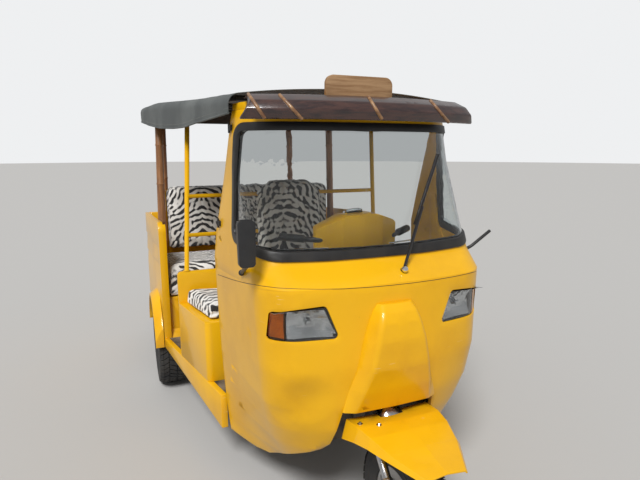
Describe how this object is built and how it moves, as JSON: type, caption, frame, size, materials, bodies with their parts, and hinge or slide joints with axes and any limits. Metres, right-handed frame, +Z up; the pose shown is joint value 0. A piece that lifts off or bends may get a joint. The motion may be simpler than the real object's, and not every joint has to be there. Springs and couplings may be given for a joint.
{
  "type": "auto rickshaw",
  "caption": "Three-wheeled open passenger rickshaw with a pressed front cab, steered front wheel, driver's box, rear bench, cane posts and a fabric canopy.",
  "frame": {"origin": "on the ground, under the middle of the vehicle's length and width", "axes": "+Y points to the rear, -Y to the nose, +X to the driver's left, +Z up"},
  "size_m": [1.516, 3.273, 1.926],
  "materials": {
    "body_yellow": "glossy pressed sheet",
    "chassis_black": "satin",
    "floor_mat": "ribbed mat",
    "engine_metal": "cast",
    "shaft_steel": "turned",
    "fork_steel": "satin",
    "wheel_paint": "satin",
    "tyre_rubber": "tread",
    "seal_rubber": "matt",
    "screen_glass": "clear laminated",
    "lamp_glass": "clear lens",
    "indicator_plastic": "clear orange lens",
    "tail_plastic": "red lens",
    "visor_plastic": "dark tinted",
    "sign_wood": "varnished board",
    "bamboo": "varnished cane",
    "zebra_cloth": "black and white striped plush",
    "canopy_vinyl": "coated cloth",
    "fitting_black": "matt"
  },
  "bodies": {
    "body": {"chassis_frame": "chassis_black", "floor_pan": "floor_mat", "engine_block": "engine_metal", "rear_axle": "chassis_black", "leaf_springs": "shaft_steel", "front_panel": "body_yellow", "nose_fairing": "body_yellow", "bulkhead": "chassis_black", "headlamps": "lamp_glass", "indicators": "indicator_plastic", "windscreen_frame": "body_yellow", "windscreen_seal": "seal_rubber", "windscreen_glass": "screen_glass", "front_roof": "body_yellow", "sun_visor": "visor_plastic", "roof_sign": "sign_wood", "sills": "body_yellow", "driver_box": "body_yellow", "driver_cushion": "zebra_cloth", "driver_backrest": "zebra_cloth", "partition": "body_yellow", "guard_rails": "body_yellow", "side_panels": "body_yellow", "wheel_houses": "body_yellow", "bench_box": "body_yellow", "bench_cushion": "zebra_cloth", "bench_backrest": "zebra_cloth", "back_board": "body_yellow", "rear_panel": "body_yellow", "tail_lamps": "tail_plastic", "bamboo_posts": "bamboo", "roof_frame": "chassis_black", "canopy": "canopy_vinyl", "mirrors": "fitting_black", "wiper": "fitting_black"},
    "steering": {"fork": "fork_steel", "front_guard": "body_yellow", "handlebar": "fitting_black", "handlebar_cowl": "body_yellow"},
    "front_wheel": {"front_tyre": "tyre_rubber", "front_rim": "wheel_paint"},
    "rear_wheel_right": {"rear_tyre_right": "tyre_rubber", "rear_rim_right": "wheel_paint"},
    "rear_wheel_left": {"rear_tyre_left": "tyre_rubber", "rear_rim_left": "wheel_paint"}
  },
  "joints": [
    {"name": "steering", "type": "hinge", "parent": "body", "child": "steering", "pos_m": [0, -1.202, 0.56], "axis": [0, 0.3778, 0.9259], "range_deg": [-40, 40]},
    {"name": "front_wheel_spin", "type": "hinge", "parent": "steering", "child": "front_wheel", "pos_m": [0, -1.37, 0.252], "axis": [1, 0, 0], "continuous": true},
    {"name": "rear_wheel_right_spin", "type": "hinge", "parent": "body", "child": "rear_wheel_right", "pos_m": [-0.658, 0.6, 0.282], "axis": [1, 0, 0], "continuous": true},
    {"name": "rear_wheel_left_spin", "type": "hinge", "parent": "body", "child": "rear_wheel_left", "pos_m": [0.658, 0.6, 0.282], "axis": [1, 0, 0], "continuous": true}
  ]
}
